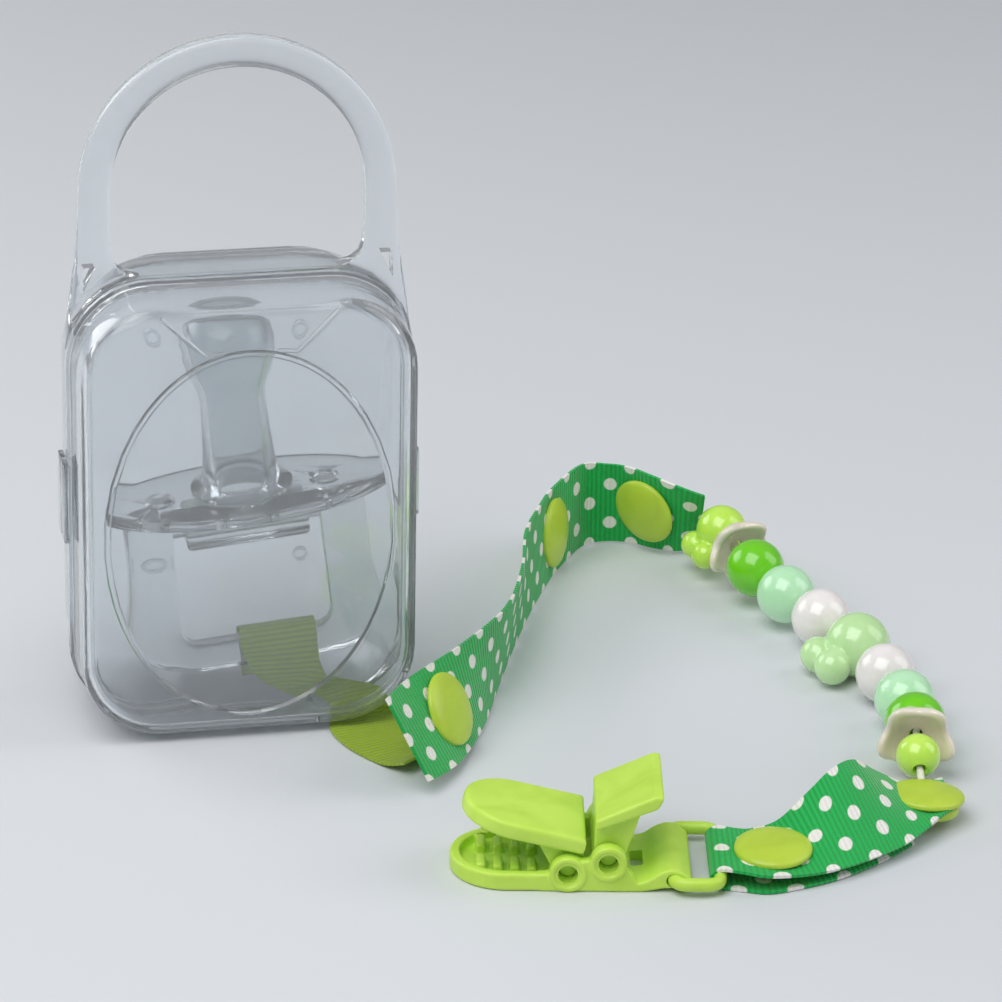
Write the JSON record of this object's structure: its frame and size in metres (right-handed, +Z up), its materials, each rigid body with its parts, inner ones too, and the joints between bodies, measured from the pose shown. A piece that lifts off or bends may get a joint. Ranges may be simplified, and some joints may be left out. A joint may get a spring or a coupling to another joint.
{
  "type": "pacifier",
  "caption": "Clear pacifier in a hinged see-through carry case, with a snap ribbon tether, a string of beads and a plastic garment clip.",
  "frame": {"origin": "bottom centre of the case, on the surface it stands on", "axes": "+X to the case's right, +Y to its back, +Z up; the case stands upright with its front to -Y and its tether laid to the right and in front"},
  "size_m": [0.145, 0.1451, 0.1194],
  "materials": {
    "clear_pp": "gloss",
    "clear_silicone": "satin",
    "lime_ribbon": "woven",
    "green_ribbon": "woven",
    "lime_snap": "satin",
    "lime_clip": "satin",
    "bead_lime": "satin",
    "bead_ivory": "satin",
    "bead_green": "satin",
    "bead_mint": "satin",
    "bead_white": "satin",
    "bead_pale_green": "satin",
    "white_cord": "braided"
  },
  "bodies": {
    "case": {"back_shell": "clear_pp", "back_hinge_leaf": "clear_pp", "carry_handle": "clear_pp", "shield": "clear_pp", "teat": "clear_silicone", "teat_hub": "clear_pp", "loop_ribbon": "lime_ribbon", "upper_strap": "green_ribbon", "lower_strap": "green_ribbon", "snap_cap_1": "lime_snap", "snap_cap_2": "lime_snap", "snap_cap_3": "lime_snap", "snap_cap_4": "lime_snap", "snap_cap_5": "lime_snap", "snap_socket_1": "lime_snap", "snap_socket_2": "lime_snap", "snap_socket_3": "lime_snap", "snap_socket_4": "lime_snap", "snap_socket_5": "lime_snap", "bead_cord": "white_cord", "clip_bail": "lime_clip"},
    "lid": {"front_shell": "clear_pp", "front_hinge_leaf": "clear_pp", "latch_tab": "clear_pp"},
    "ring": {"ring_handle": "clear_pp"},
    "bear_bead_1_body": {"bear_bead_1": "bead_lime"},
    "flower_bead_2_body": {"flower_bead_2": "bead_ivory"},
    "round_bead_3_body": {"round_bead_3": "bead_green"},
    "round_bead_4_body": {"round_bead_4": "bead_mint"},
    "round_bead_5_body": {"round_bead_5": "bead_white"},
    "bear_bead_6_body": {"bear_bead_6": "bead_pale_green"},
    "round_bead_7_body": {"round_bead_7": "bead_white"},
    "round_bead_8_body": {"round_bead_8": "bead_mint"},
    "round_bead_9_body": {"round_bead_9": "bead_green"},
    "flower_bead_10_body": {"flower_bead_10": "bead_ivory"},
    "round_bead_11_body": {"round_bead_11": "bead_lime"},
    "clip": {"clip_base": "lime_clip", "jaw_pin": "lime_clip", "lever_pin": "lime_clip"},
    "jaw": {"clip_jaw": "lime_clip"},
    "lever": {"clip_lever": "lime_clip"}
  },
  "joints": [
    {"name": "lid_hinge", "type": "hinge", "parent": "case", "child": "lid", "pos_m": [-0.0301, -0.00175, 0.041], "axis": [0, 0, -1], "range_deg": [0, 170]},
    {"name": "ring_swing", "type": "hinge", "parent": "case", "child": "ring", "pos_m": [0.00118, 0, 0.03402], "axis": [0.9954, 0, 0.0958], "range_deg": [-12, 12], "deforming": ["loop_ribbon"]},
    {"name": "clip_swivel", "type": "hinge", "parent": "case", "child": "clip", "pos_m": [0.05845, -0.07379, 0.0021], "axis": [0.1908, 0.9816, 0], "range_deg": [0, 60]},
    {"name": "lever_hinge", "type": "hinge", "parent": "clip", "child": "lever", "pos_m": [0.04824, -0.07181, 0.0049], "axis": [0.1908, 0.9816, 0], "range_deg": [0, 50]},
    {"name": "jaw_hinge", "type": "hinge", "parent": "clip", "child": "jaw", "pos_m": [0.04195, -0.07059, 0.003], "axis": [0.1908, 0.9816, 0], "range_deg": [-10, 0]},
    {"name": "bear_bead_1_spin", "type": "hinge", "parent": "case", "child": "bear_bead_1_body", "pos_m": [0.09512, 0.04137, 0.00846], "axis": [0.1853, -0.9808, -0.0615], "continuous": true},
    {"name": "flower_bead_2_spin", "type": "hinge", "parent": "case", "child": "flower_bead_2_body", "pos_m": [0.09637, 0.03417, 0.00792], "axis": [0.1716, -0.9814, -0.0863], "continuous": true},
    {"name": "round_bead_3_spin", "type": "hinge", "parent": "case", "child": "round_bead_3_body", "pos_m": [0.09768, 0.02641, 0.00712], "axis": [0.2059, -0.9746, -0.0877], "continuous": true},
    {"name": "round_bead_4_spin", "type": "hinge", "parent": "case", "child": "round_bead_4_body", "pos_m": [0.1006, 0.01571, 0.00643], "axis": [0.2948, -0.9542, -0.0504], "continuous": true},
    {"name": "round_bead_5_spin", "type": "hinge", "parent": "case", "child": "round_bead_5_body", "pos_m": [0.10428, 0.00554, 0.00595], "axis": [0.3402, -0.9399, -0.0287], "continuous": true},
    {"name": "bear_bead_6_spin", "type": "hinge", "parent": "case", "child": "bear_bead_6_body", "pos_m": [0.10767, -0.00654, 0.00591], "axis": [0.2083, -0.9781, -0.0005], "continuous": true},
    {"name": "round_bead_7_spin", "type": "hinge", "parent": "case", "child": "round_bead_7_body", "pos_m": [0.10929, -0.01871, 0.00572], "axis": [0.0781, -0.9968, -0.0143], "continuous": true},
    {"name": "round_bead_8_spin", "type": "hinge", "parent": "case", "child": "round_bead_8_body", "pos_m": [0.10966, -0.02938, 0.00567], "axis": [-0.0277, -0.9995, 0.0169], "continuous": true},
    {"name": "round_bead_9_spin", "type": "hinge", "parent": "case", "child": "round_bead_9_body", "pos_m": [0.10849, -0.03991, 0.00626], "axis": [-0.1762, -0.9809, 0.083], "continuous": true},
    {"name": "flower_bead_10_spin", "type": "hinge", "parent": "case", "child": "flower_bead_10_body", "pos_m": [0.10659, -0.04706, 0.0071], "axis": [-0.2444, -0.9697, -0.0004], "continuous": true},
    {"name": "round_bead_11_spin", "type": "hinge", "parent": "case", "child": "round_bead_11_body", "pos_m": [0.10548, -0.05225, 0.00609], "axis": [-0.1622, -0.9341, -0.3179], "continuous": true}
  ],
  "couplings": [
    {"joint": "jaw_hinge", "follows": "lever_hinge", "ratio": -0.2}
  ]
}
